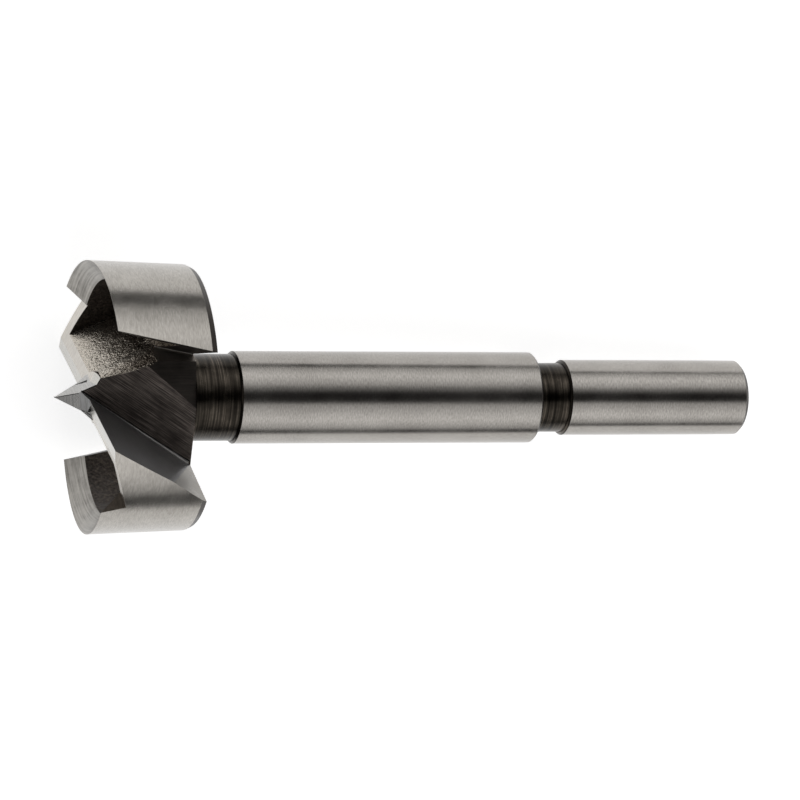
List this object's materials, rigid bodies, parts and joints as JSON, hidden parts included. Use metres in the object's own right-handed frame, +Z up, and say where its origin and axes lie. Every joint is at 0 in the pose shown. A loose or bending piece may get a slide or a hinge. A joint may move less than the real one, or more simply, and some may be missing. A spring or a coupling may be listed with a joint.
{
  "type": "forstner bit",
  "caption": "Wood-boring bit with lips, sharpened rims and a short centre point, on a stepped round body and shank, for flat-bottomed holes",
  "frame": {"origin": "centre of the bounding box on the surface that the bit lies on", "axes": "+X runs from the centre point to the shank's end, +Z is up; the bit's own axis slopes down towards the shank"},
  "size_m": [0.0936, 0.035, 0.0335],
  "materials": {
    "tool_steel": "ground bright outside, dark as forged and milled in the throats, turned grooves"
  },
  "bodies": {
    "root": {"boring_bit": "tool_steel"}
  },
  "joints": []
}
